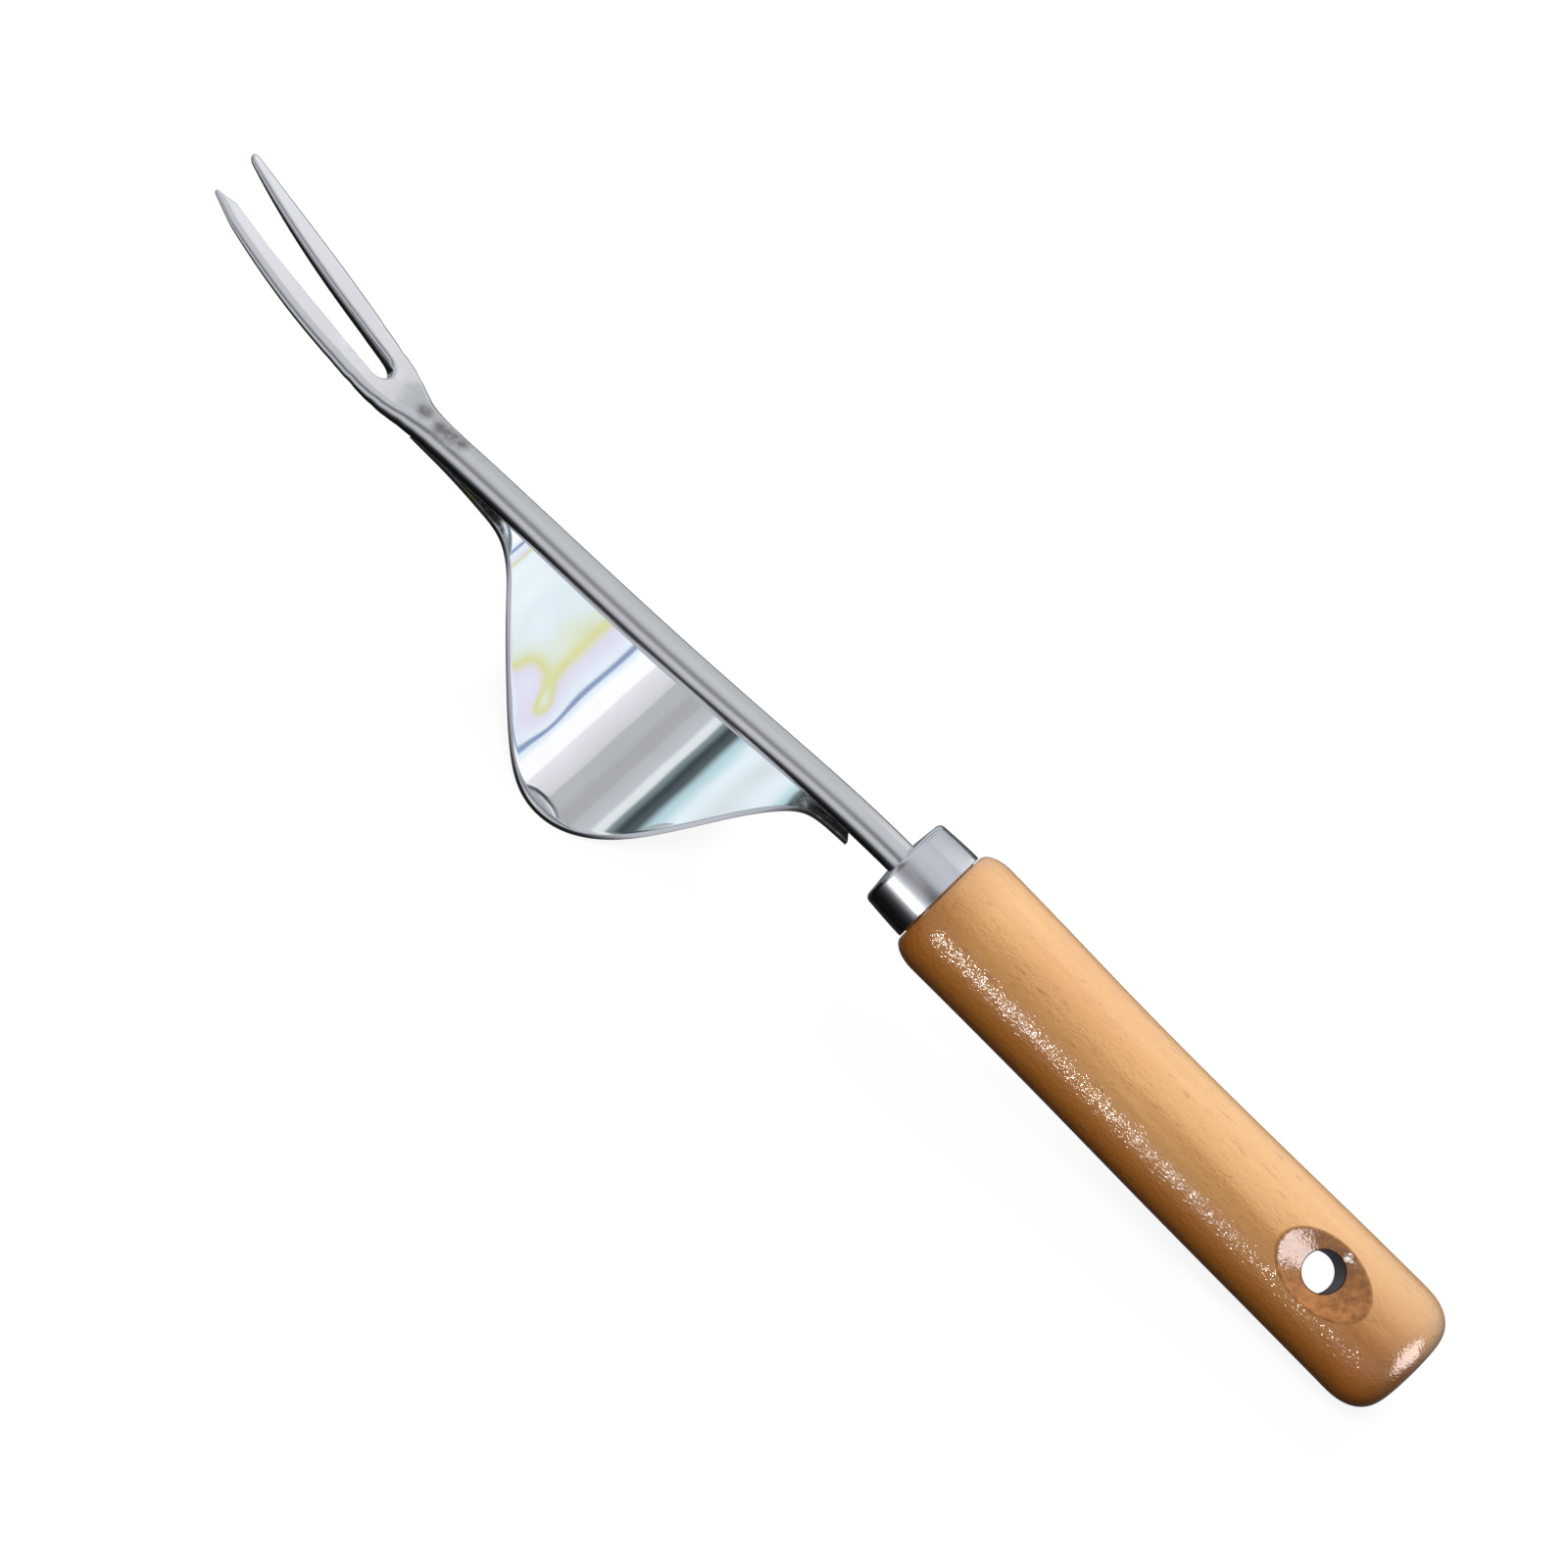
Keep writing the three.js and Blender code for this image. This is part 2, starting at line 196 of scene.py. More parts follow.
def make(name, points, faces, node, material, angle=None):
    """A piece that stands for a node of the CAD."""
    obj = merged(name, points, faces)
    mesh = obj.data
    mesh.validate()
    mesh.update()
    mesh.polygons.foreach_set("use_smooth", [True] * len(mesh.polygons))
    if angle is not None:
        mesh.set_sharp_from_angle(angle=math.radians(angle))
    mesh.materials.append(material)
    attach(obj, "root")
    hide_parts(node)
    return obj


def grid_faces(rows, cols, start=0, wrap=False, flip=False):
    """Quads between the rows of a grid of points."""
    faces = []
    span = cols if wrap else cols - 1
    for i in range(rows - 1):
        near, far = start + i * cols, start + (i + 1) * cols
        for k in range(span):
            m = (k + 1) % cols
            f = [near + k, near + m, far + m, far + k]
            faces.append(f[::-1] if flip else f)
    return faces


def turned(outline, count, name, node, material, angle=None):
    """A turned piece from its closed outline of station and radius."""
    pts = np.array(outline, float)
    a = np.linspace(0, 2 * np.pi, count, endpoint=False)
    station = np.repeat(pts[:, :1], count, 1)
    points = place(station, pts[:, 1:] * np.cos(a), pts[:, 1:] * np.sin(a))
    faces = grid_faces(len(pts), count, wrap=True, flip=True)
    return make(name, points, faces, node, material, angle=angle)


def arc(cx, cy, r, start, end, steps):
    """Points on an arc, from one angle to another in degrees."""
    a = np.radians(np.linspace(start, end, steps + 1))
    return [[cx + r * math.cos(t), cy + r * math.sin(t)] for t in a]


def half_gap(station):
    """Half the width of the slot between the tines."""
    t = (SLOT_CENTRE - station) / SLOT_CENTRE
    straight = SLOT_R + 1.3 * t + 1.5 * t**3
    round_end = np.sqrt(np.maximum(0, SLOT_R**2 - (station - SLOT_CENTRE) ** 2))
    return np.where(station > SLOT_CENTRE, round_end, straight)


def tine_edges(station, side):
    """Inner and outer edge of the tine, neck or shaft on one side."""
    tip = CUT_TIP if side > 0 else ROUND_TIP
    past = station - tip["start"]
    inner, outer = half_gap(station), blade(station)[..., 2]
    if side > 0:
        outer = outer - tip["taper"] * np.maximum(0, 1 - past / tip["taper_length"])
        corner = inner - tip["bulge"] * (1 - smoothstep(station, 3, 16))
        inner = tip["inner"] + (corner - tip["inner"]) * np.minimum(1, past / tip["length"])
    else:
        bulge = ((station - NECK_SWELL["at"]) / NECK_SWELL["length"]) ** 2
        outer = outer + NECK_SWELL["size"] * np.exp(-bulge)
    s = quarter(past, tip["r"])
    return tip["y"] + (inner - tip["y"]) * s, tip["y"] + (outer - tip["y"]) * s


def fork_blade(material):
    cells = 26
    end = SLOT_CENTRE + SLOT_R
    shared = np.concatenate([
        np.linspace(9, SLOT_CENTRE, 90)[:-1],
        SLOT_CENTRE + SLOT_R * np.sin(np.linspace(0, np.pi / 2, 22)),
        end + np.array([0.05, 0.15, 0.3, 0.5]),
        np.linspace(end + 0.8, 70, 70),
        np.linspace(71, 186, 116),
        np.array([200.0, 225.0, 250.0]),
    ])
    chance = np.random.default_rng(11)
    marks = [
        (chance.uniform(36, 68), chance.uniform(-5, 5), chance.uniform(0.9, 2.0), chance.uniform(-0.10, 0.06))
        for _ in range(30)
    ]
    points, faces = [], []
    for side in (1, -1):
        tip = CUT_TIP if side > 0 else ROUND_TIP
        start = tip["start"]
        stations = np.concatenate([
            start + tip["r"] * (1 - np.cos(np.linspace(0, np.pi / 2, 14))),
            np.linspace(start + tip["r"], 9, 40)[1:-1],
            shared,
        ])
        row = blade(stations)
        inner, outer = tine_edges(stations, side)
        q = np.linspace(0, 1, cells + 1)[None]
        both = (1 - np.cos(np.pi * q)) / 2
        plain = smoothstep(stations, end, 62)[:, None]
        y = inner[:, None] + (outer - inner)[:, None] * (both + plain * (np.sin(np.pi * q / 2) - both))
        st = stations[:, None]
        clear = np.where(st < SLOT_CENTRE, y - inner[:, None], np.hypot(st - SLOT_CENTRE, y) - SLOT_R)
        clear = np.where(clear < 1e-5, 0, clear)
        wide = row[:, 4:5] + 1.0 * (1 - smoothstep(st, 40, 52))
        rise = row[:, 3:4] * quarter(outer[:, None] - y, wide) * quarter(clear, SLOT_EDGE_R)
        # Forging marks: shallow hammer dents round the neck; the tines are a little domed.
        across = side * y
        wave = 0 * across
        for at, off, r, deep in marks:
            wave = wave + deep * np.exp(-((st - at) / r) ** 2 - ((across - off) / (0.8 * r)) ** 2)
        face = np.minimum(1, rise / np.maximum(row[:, 3:4], 1e-6))
        dents = smoothstep(st, 33, 42) * (1 - smoothstep(st, 60, 70))
        dome = 0.11 * (1 - smoothstep(st, 46, 60)) * (1 - (2 * q - 1) ** 2) * smoothstep(st, -0.9, 5)
        centre = row[:, 1:2]
        top = centre + rise + (wave + dome) * face
        low = centre - rise
        edge = 1 + 0.008 * dents * (np.sin(st * 1.1 + side) + 0.6 * np.sin(st * 2.1 + 2 * side)) * (q > 0.02)
        yy = side * y * np.where(st > 33, edge, 1)
        n = len(stations) * (cells + 1)
        base = sum(len(p) for p in points)
        points.append(place(st + 0 * yy, yy, top).reshape(-1, 3))
        points.append(place(st + 0 * yy, yy, low).reshape(-1, 3))
        faces += grid_faces(len(stations), cells + 1, base, flip=side > 0)
        faces += grid_faces(len(stations), cells + 1, base + n, flip=side < 0)
        last = base + (len(stations) - 1) * (cells + 1)
        for k in range(cells):
            f = [last + k, last + k + 1, last + n + k + 1, last + n + k]
            faces.append(f if side < 0 else f[::-1])
    points = np.vstack(points)
    return make("fork_blade_polished", points, faces, "fork_blade", material, angle=50)


def fulcrum_plate(material):
    count, cells, r = 420, 44, PLATE_RIM_R
    t = np.linspace(0, 1, count)
    mid = steer(PLATE, t)
    height = blade(mid[:, 0])[:, 1] - mid[:, 1]
    x = LENGTH / 2 - mid[:, 0]
    dx, dz = np.gradient(x, t), np.gradient(height, t)
    size = np.hypot(dx, dz)
    nx, nz = dz / size, -dx / size
    ax, az = dx / size, dz / size
    half = mid[:, 2]
    slant = TAIL_SLANT * half * smoothstep(t, 0.9, 1)
    bend = np.radians(np.linspace(0, 90, 7))
    flat = np.linspace(1, -1, cells)
    ring = []
    for y in flat:
        ring.append((y, 0.0, PLATE_T / 2))
    for b in bend[1:]:
        ring.append((-1, r * math.sin(b), PLATE_T / 2 - r + r * math.cos(b)))
    for b in bend[::-1]:
        ring.append((-1, r * math.sin(b), -(PLATE_T / 2 - r + r * math.cos(b))))
    for y in flat[::-1][1:]:
        ring.append((y, 0.0, -PLATE_T / 2))
    for b in bend[1:]:
        ring.append((1, r * math.sin(b), -(PLATE_T / 2 - r + r * math.cos(b))))
    for b in bend[::-1][:-1]:
        ring.append((1, r * math.sin(b), PLATE_T / 2 - r + r * math.cos(b)))
    ring = np.array(ring)
    inset = np.minimum(r, half * 0.6)[:, None]
    y = ring[None, :, 0] * (half[:, None] - inset) + np.sign(ring[None, :, 0]) * ring[None, :, 1] / r * inset
    # Pressing leaves the sheet a little wavy, most of all in its front half.
    st = mid[:, :1]
    dents = (
        0.19 * np.exp(-(((st - 110.5) / 4.4) ** 2) - ((y - 12) / 6) ** 2)
        + 0.03 * np.exp(-(((st - 99) / 2.4) ** 2) - ((y - 2) / 4) ** 2)
        + 0.004 * np.sin(st * 0.55 + 0.3 * y)
    )
    calm = 1 - smoothstep(np.abs(y) / half[:, None], 0.9, 1.0)
    off = ring[None, :, 2] + dents * calm * smoothstep(half, 3, 8)[:, None]
    share = y / half[:, None]
    px = x[:, None] + nx[:, None] * off + ax[:, None] * share * slant[:, None]
    pz = height[:, None] + nz[:, None] * off + az[:, None] * share * slant[:, None]
    pts = place(LENGTH / 2 - px, y, pz).reshape(-1, 3)
    n = len(ring)
    faces = grid_faces(count, n, wrap=True)
    first = list(range(n))
    last = [(count - 1) * n + k for k in range(n)]
    faces += [first[::-1], last]
    return make("fulcrum_plate_mirror", pts, faces, "fulcrum_plate", material, angle=50)


def ferrule(material):
    front, rear, front_r, rear_r, wall = 182.4, 193.0, 10.15, 10.6, 1.4
    inner, hole, corner, dome, rim = rear_r - wall, 3.5, 1.3, 0.5, 0.4
    start = rear - 0.6
    end = front + dome + corner
    sides = [
        [start - (start - end) * q, rear_r + (front_r - rear_r) * q**1.4]
        for q in np.linspace(0.05, 0.95, 24)
    ]
    face = [
        [front + dome - dome * q, front_r - corner + (hole + rim - front_r + corner) * q]
        for q in np.linspace(0.08, 0.96, 14)
    ]
    outline = [
        [front + wall, hole],
        [front + wall, inner - 0.6],
        [front + wall + 0.6, inner],
        [rear, inner],
        *arc(rear - 0.3, rear_r - 0.3, 0.3, 0, 90, 6),
        *sides,
        *arc(end, front_r - corner, corner, 92, 174, 18),
        *face,
        *arc(front + rim, hole + rim, rim, 180, 270, 6),
        [front + wall, hole],
    ]
    return turned(outline, 220, "ferrule_bright", "ferrule", material, angle=40)


# The hanging hole is slanted, misses the middle of the grip a little and is dished at both ends.
HOLE_AT = 294.7
HOLE_TURN = math.radians(41)
HOLE_MISS = 1.4
HOLE_R = 4.2
DISH_FLOOR = 10.3
DISH_SLOPE = 1.94
DISH_REACH = 14
DISH_BLEND = 0.28
BORE_EDGE_R = 0.55
BUTT_FLAT_R = 6.2
BUTT_POWER = 2.4


def handle(material):
    start, sx, sr = 184.0, 193.2, 10.6
    gx, gr = grip(199.0)
    bx, br = grip(311.0)
    shoulder_q = 1 - np.cos(np.linspace(0, np.pi / 2, 22))
    rows = [[start, 0], [start, 8.45], [start + 0.6, 9.05], [sx, 9.05]]
    rows += [[sx, r] for r in np.linspace(9.05, sr, 4)[1:]]
    rows += [[sx + (gx - sx) * q, sr + (gr - sr) * math.sqrt(1 - (1 - q) ** 2)] for q in shoulder_q[1:]]
    body = np.concatenate([
        np.arange(200.0, 280.0, 1.0),
        np.arange(280.0, 284.0, 0.5),
        np.arange(284.0, 307.6, 0.2),
        np.linspace(307.6, float(bx), 10),
    ])
    rows += [[s, float(grip(s)[1])] for s in body]
    for a in np.radians(np.linspace(2, 90, 44)):
        rows.append([
            bx + (LENGTH - bx) * math.sin(a) ** (2 / BUTT_POWER),
            BUTT_FLAT_R + (br - BUTT_FLAT_R) * max(0.0, math.cos(a)) ** (2 / BUTT_POWER),
        ])
    rows += [[LENGTH, r] for r in (BUTT_FLAT_R * 0.97, BUTT_FLAT_R * 0.8, BUTT_FLAT_R * 0.4, 0)]
    rows = np.array(rows, float)
    count = 340
    a = -np.linspace(0, 2 * np.pi, count, endpoint=False)
    share = np.clip((rows[:, 0] - 199) / 112, 0, 1)
    side = ((0.35 * np.sin(np.pi * share) ** 2 + DRIFT * share) * math.sqrt(0.5))[:, None]
    y = side + rows[:, 1:] * np.cos(a)
    z = -side + rows[:, 1:] * np.sin(a)
    st = np.repeat(rows[:, :1], count, 1)
    # The two dishes of the hanging hole, blended softly into the round handle.
    c, s = math.cos(HOLE_TURN), math.sin(HOLE_TURN)
    across = y * c - z * s + HOLE_MISS
    along = y * s + z * c
    rho = np.hypot(st - HOLE_AT, across)
    level = DISH_FLOOR + (rho - HOLE_R) / DISH_SLOPE
    h = np.abs(along)
    mix = np.clip(0.5 + 0.5 * (h - level) / DISH_BLEND, 0, 1)
    sunk = h * (1 - mix) + level * mix - DISH_BLEND * mix * (1 - mix)
    sunk = np.where((rho < DISH_REACH) & (h > 6), np.minimum(sunk, h), h)
    shift = (sunk - h) * np.sign(along)
    y = y + shift * s
    z = z + shift * c
    pts = place(st, y, z).reshape(-1, 3)
    faces = grid_faces(len(rows), count, wrap=True)
    obj = make("handle_turned", pts, faces, "handle", material)
    # The bore of the hanging hole with softly broken edges, and the bore for the tang.
    e = BORE_EDGE_R
    prof = [[0, 16], [HOLE_R + 5, 16], [HOLE_R + 5, DISH_FLOOR + 3.4]]
    for b in np.radians(np.linspace(62, 0, 9)):
        prof.append([HOLE_R + e * (1 - math.cos(b)), DISH_FLOOR + 0.1 - e + e * math.sin(b)])
    prof += [[r, -z] for r, z in prof[::-1]]
    cutter = lathe_about_hole(prof, 120)
    tang = tang_bore(96)
    for tool in (cutter, tang):
        m = obj.modifiers.new(tool.name, "BOOLEAN")
        m.operation = "DIFFERENCE"
        m.solver = "EXACT"
        m.object = tool
    deps = bpy.context.evaluated_depsgraph_get()
    cut = bpy.data.meshes.new_from_object(obj.evaluated_get(deps))
    obj.modifiers.clear()
    obj.data = cut
    cut.polygons.foreach_set("use_smooth", [True] * len(cut.polygons))
    cut.set_sharp_from_angle(angle=math.radians(38))
    for tool in (cutter, tang):
        bpy.data.objects.remove(tool)
    return obj


def lathe_about_hole(profile, count):
    p = np.array(profile, float)
    a = np.linspace(0, 2 * np.pi, count, endpoint=False)
    u = p[:, :1] * np.cos(a)
    v = p[:, :1] * np.sin(a) - HOLE_MISS
    w = np.repeat(p[:, 1:], count, 1)
    c, s = math.cos(HOLE_TURN), math.sin(HOLE_TURN)
    pts = place(HOLE_AT + u, v * c + w * s, -v * s + w * c)
    return merged("hole_cutter", pts, grid_faces(len(p), count, wrap=True))


def tang_bore(count):
    p = np.array([[180, 0], [180, 4.6], [251, 4.6], [251, 0]], float)
    a = -np.linspace(0, 2 * np.pi, count, endpoint=False)
    pts = place(np.repeat(p[:, :1], count, 1), p[:, 1:] * np.cos(a), p[:, 1:] * np.sin(a))
    return merged("tang_cutter", pts, grid_faces(len(p), count, wrap=True))


# ---------------------------------------------------------------- materials

def grey(v):
    return (v, v, v, 1.0)


def shaded(colour, share):
    return tuple(v * share for v in colour[:3]) + (1.0,)


def linear(r, g, b):
    """A shader's colour from the 0 to 255 values that a screen shows."""
    shares = [v / 255 for v in (r, g, b)]
    return tuple(v / 12.92 if v <= 0.04045 else ((v + 0.055) / 1.055) ** 2.4 for v in shares) + (1.0,)


class Nodes:
    """Short names for building the nodes of a material or of the world."""

    def __init__(self, owner):
        owner.use_nodes = True
        self.owner = owner
        self.tree = owner.node_tree
        self.shader = next(n for n in self.tree.nodes if n.type in ("BSDF_PRINCIPLED", "BACKGROUND"))

    def link(self, a, b):
        self.tree.links.new(a, b)

    def feed(self, socket, value):
        """Gives a socket a plain value, or links another node's output to it."""
        if isinstance(value, (int, float, tuple)):
            socket.default_value = value
        else:
            self.link(value, socket)

    def put(self, kind, **values):
        node = self.tree.nodes.new(kind)
        for key, value in values.items():
            setattr(node, key, value)
        return node

    def coords(self, scale):
        """The part's coordinates, turned to run along the tool and then scaled."""
        turned_to = self.put("ShaderNodeMapping")
        turned_to.inputs["Rotation"].default_value = (0, math.atan2(TOOL_X.z, TOOL_X.x), 0)
        self.link(self.put("ShaderNodeTexCoord").outputs["Object"], turned_to.inputs["Vector"])
        scaled = self.put("ShaderNodeMapping")
        scaled.inputs["Scale"].default_value = scale
        self.link(turned_to.outputs["Vector"], scaled.inputs["Vector"])
        return scaled.outputs["Vector"]

    def noise(self, scale, detail, rough, distortion=0.0):
        node = self.put("ShaderNodeTexNoise")
        node.inputs["Scale"].default_value = 1.0
        node.inputs["Detail"].default_value = detail
        node.inputs["Roughness"].default_value = rough
        node.inputs["Distortion"].default_value = distortion
        self.link(self.coords(scale), node.inputs["Vector"])
        return node.outputs["Fac"]

    def ramp(self, share, stops, interpolation="LINEAR"):
        node = self.put("ShaderNodeValToRGB")
        node.color_ramp.interpolation = interpolation
        while len(node.color_ramp.elements) < len(stops):
            node.color_ramp.elements.new(0.5)
        for element, (at, colour) in zip(node.color_ramp.elements, stops):
            element.position = at
            element.color = colour
        self.link(share, node.inputs["Fac"])
        return node.outputs["Color"]

    def greys(self, share, *stops):
        return self.ramp(share, [(at, grey(v)) for at, v in stops])

    def mix(self, share, a, b, blend="MIX"):
        node = self.put("ShaderNodeMix", data_type="RGBA", blend_type=blend)
        for socket, value in ((node.inputs[0], share), (node.inputs[6], a), (node.inputs[7], b)):
            self.feed(socket, value)
        return node.outputs[2]

    def maths(self, operation, *values):
        node = self.put("ShaderNodeMath", operation=operation)
        for socket, value in zip(node.inputs, values):
            self.feed(socket, value)
        return node.outputs[0]

    def layer(self, colour, mask, share, over):
        """The colour with a share of another one laid over it where the mask is 1."""
        return self.mix(self.maths("MULTIPLY", mask, share), colour, over)

    def fade(self, value, start, end):
        """0 at the start and 1 at the end, with a soft change between."""
        node = self.put("ShaderNodeMapRange", interpolation_type="SMOOTHSTEP")
        node.inputs["From Min"].default_value = start
        node.inputs["From Max"].default_value = end
        self.link(value, node.inputs["Value"])
        return node.outputs["Result"]

    def vector_maths(self, operation, vector, other=None):
        node = self.put("ShaderNodeVectorMath", operation=operation)
        self.link(vector, node.inputs[0])
        if other is not None:
            node.inputs[1].default_value = tuple(float(v) for v in np.ravel(other))
        return node.outputs

    def away_from(self, point):
        """The way from a point of the tool to the place that is shaded."""
        here = self.put("ShaderNodeTexCoord").outputs["Object"]
        return self.vector_maths("SUBTRACT", here, point)["Vector"]

    def spot(self, centres, radius, soft):
        """1 near any of the points, fading to 0."""
        total = 0.0
        for centre in centres:
            distance = self.vector_maths("LENGTH", self.away_from(centre))["Value"]
            total = self.maths("MAXIMUM", self.fade(distance, radius + soft, radius - soft), total)
        return total

    def bump(self, height, strength, distance, normal=None):
        node = self.put("ShaderNodeBump")
        node.inputs["Strength"].default_value = strength
        node.inputs["Distance"].default_value = distance
        self.link(height, node.inputs["Height"])
        if normal is not None:
            self.link(normal, node.inputs["Normal"])
        return node.outputs["Normal"]


GRAIN = [(0.3, linear(186, 132, 74)), (0.5, linear(204, 153, 95)), (0.7, linear(217, 170, 114))]
FIGURE = [(0.3, linear(158, 100, 48)), (0.52, linear(206, 156, 98)), (0.78, linear(226, 186, 134))]
END_GRAIN = [(0.35, linear(112, 66, 30)), (0.65, linear(164, 108, 58))]


def wood():
    n = Nodes(bpy.data.materials.new("lacquered_wood"))
    streak = n.noise((13, 230, 230), 4.0, 0.6, 0.3)
    colour = n.mix(0.34, n.ramp(n.noise((6, 55, 55), 3.0, 0.5, 0.5), GRAIN), n.ramp(streak, FIGURE))
    blush = n.greys(n.noise((14.3, 31.2, 31.2), 2.0, 0.5), (0.44, 0), (0.68, 1))
    colour = n.layer(colour, blush, 0.38, linear(190, 122, 76))
    flecks = n.greys(n.noise((420, 2600, 2600), 1.0, 0.4), (0.64, 0), (0.72, 1))
    colour = n.layer(colour, flecks, 0.36, linear(146, 88, 44))
    pores = n.greys(n.noise((240, 900, 900), 1.0, 0.4), (0.68, 0), (0.76, 1))
    colour = n.layer(colour, pores, 0.5, linear(132, 76, 36))
    # The wood is darker towards the butt and at the shoulder. Painted shade darkens and deepens the colour along
    # the lower side, and painted light makes the top paler.
    butt = n.spot([place(LENGTH + 2, 0, 0)], 0.026, 0.018)
    colour = n.layer(colour, butt, 0.62, linear(156, 100, 58))
    shoulder = n.spot([place(194, 0, 0)], 0.0145, 0.002)
    colour = n.layer(colour, shoulder, 0.4, linear(136, 80, 40))
    # Painted shade on the lower side and painted light on the top, by the distance across the handle.
    shade_side = (Y_AXIS - Z_AXIS) / math.sqrt(2)
    drop = n.vector_maths("DOT_PRODUCT", n.away_from(place(250, 0, 0)), shade_side)["Value"]
    level = n.maths("DIVIDE", drop, 13.5 * MM)
    colour = n.layer(colour, n.fade(level, -0.1, 1.0), 0.85, linear(192, 112, 32))
    colour = n.layer(colour, n.fade(level, 0.1, -0.8), 0.45, linear(220, 184, 142))
    # End grain in the dishes of the hanging hole, and painted shade on the wall of its bore.
    dish, bore_shade = hole_masks(n)
    colour = n.layer(colour, dish, 0.8, n.ramp(n.noise((560, 560, 560), 3.0, 0.6), END_GRAIN))
    colour = n.mix(bore_shade, colour, linear(34, 16, 8))
    n.link(colour, n.shader.inputs["Base Color"])
    n.link(n.greys(streak, (0.3, 0.5), (0.7, 0.6)), n.shader.inputs["Roughness"])
    n.shader.inputs["Specular IOR Level"].default_value = 0.08
    n.shader.inputs["Coat Weight"].default_value = 1.0
    n.shader.inputs["Coat Roughness"].default_value = 0.06
    n.shader.inputs["Coat IOR"].default_value = 1.5
    # The lacquer has the small waves and grit of a brushed coat.
    waves = n.noise((480, 700, 700), 3.0, 0.6)
    grit = n.noise((1100, 1900, 1900), 2.0, 0.5)
    normal = n.bump(n.maths("ADD", waves, n.maths("MULTIPLY", grit, 0.9)), 0.62, 0.00019)
    n.link(normal, n.shader.inputs["Normal"])
    n.link(normal, n.shader.inputs["Coat Normal"])
    return n.owner


def hole_masks(n):
    """1 on the dishes of the hanging hole, and 1 on the wall of its bore, where shade is painted."""
    c, s = math.cos(HOLE_TURN), math.sin(HOLE_TURN)
    away = n.away_from(place(HOLE_AT, -HOLE_MISS * c, HOLE_MISS * s))
    depth = n.maths("ABSOLUTE", n.vector_maths("DOT_PRODUCT", away, s * Y_AXIS + c * Z_AXIS)["Value"])
    reach = n.vector_maths("LENGTH", away)["Value"]
    square = n.maths("SUBTRACT", n.maths("POWER", reach, 2.0), n.maths("POWER", depth, 2.0))
    rho = n.maths("SQRT", square)
    rise = n.maths("DIVIDE", n.maths("SUBTRACT", rho, HOLE_R * MM), DISH_SLOPE)
    level = n.maths("ADD", rise, DISH_FLOOR * MM)
    over = n.fade(n.maths("SUBTRACT", depth, level), -0.45 * MM, -0.12 * MM)
    near = n.maths("LESS_THAN", rho, DISH_REACH * MM)
    bore_shade = n.fade(rho, (HOLE_R + 0.35) * MM, (HOLE_R + 0.05) * MM)
    return n.maths("MULTIPLY", over, near), bore_shade


def steel(name, base, smoothest, roughest, wave_scale, wave, scratch, marks=()):
    """Polished steel. Each mark has its points, radius, soft edge, colour and roughness; the colour is a heat
    tint or painted shade.
    """
    n = Nodes(bpy.data.materials.new(name))
    n.shader.inputs["Metallic"].default_value = 1.0
    colour = n.ramp(n.noise((60, 90, 90), 3.0, 0.55), [(0.3, shaded(base, 0.95)), (0.7, base)])
    rough = n.greys(n.noise((30, 900, 900), 4.0, 0.6), (0.3, smoothest), (0.75, roughest))
    for centres, radius, soft, tint_or_shade, dull in marks:
        cloud = n.greys(n.noise((700, 700, 700), 3.0, 0.6), (0.30, 0.5), (0.55, 1))
        mark = n.maths("MULTIPLY", n.spot(centres, radius, soft), cloud)
        colour = n.layer(colour, mark, 0.8, tint_or_shade)
        rough = n.mix(mark, rough, grey(dull))
    n.link(colour, n.shader.inputs["Base Color"])
    n.link(rough, n.shader.inputs["Roughness"])
    normal = n.bump(n.noise(wave_scale, 1.0, 0.4), 1.0, wave)
    normal = n.bump(n.noise((60, 2400, 2400), 2.0, 0.5), 0.5, scratch, normal)
    n.link(normal, n.shader.inputs["Normal"])
    return n.owner


def plain_surface(name, colour, metallic, rough):
    n = Nodes(bpy.data.materials.new(name))
    n.shader.inputs["Metallic"].default_value = metallic
    n.shader.inputs["Roughness"].default_value = rough
    cloud = n.noise((500, 500, 500), 3.0, 0.6)
    n.link(n.ramp(cloud, [(0.3, shaded(colour, 0.75)), (0.7, colour)]), n.shader.inputs["Base Color"])
    n.link(n.bump(cloud, 0.5, 0.0001), n.shader.inputs["Normal"])
    return n.owner


def under_bar(station, drop, side=0.0):
    """A point that far behind the middle of the bar."""
    return place(station, side, float(blade(station)[1]) - drop)


# Where heat from forging and welding has marked the steel, and where the plate's tabs sit under the bar and get
# painted shade.
HEAT = [
    place(57, 0.4, -6.6), place(61.5, 0.9, -6.1), place(63.1, 0.7, -5.9),
    place(64.7, 0.5, -5.7), place(66.2, 0.2, -5.6),
]
FRONT_TAB = [under_bar(at, 4.5) for at in (60.0, 66.0, 72.0, 78.0)]
REAR_TAB = [under_bar(at, 4.8) for at in (163.5, 167.0, 171.0)]
TEMPER = [under_bar(73.5, 4.2, 2.0)]

WOOD = wood()
BURNT = (HEAT, 0.0016, 0.0012, linear(120, 119, 112), 0.4)
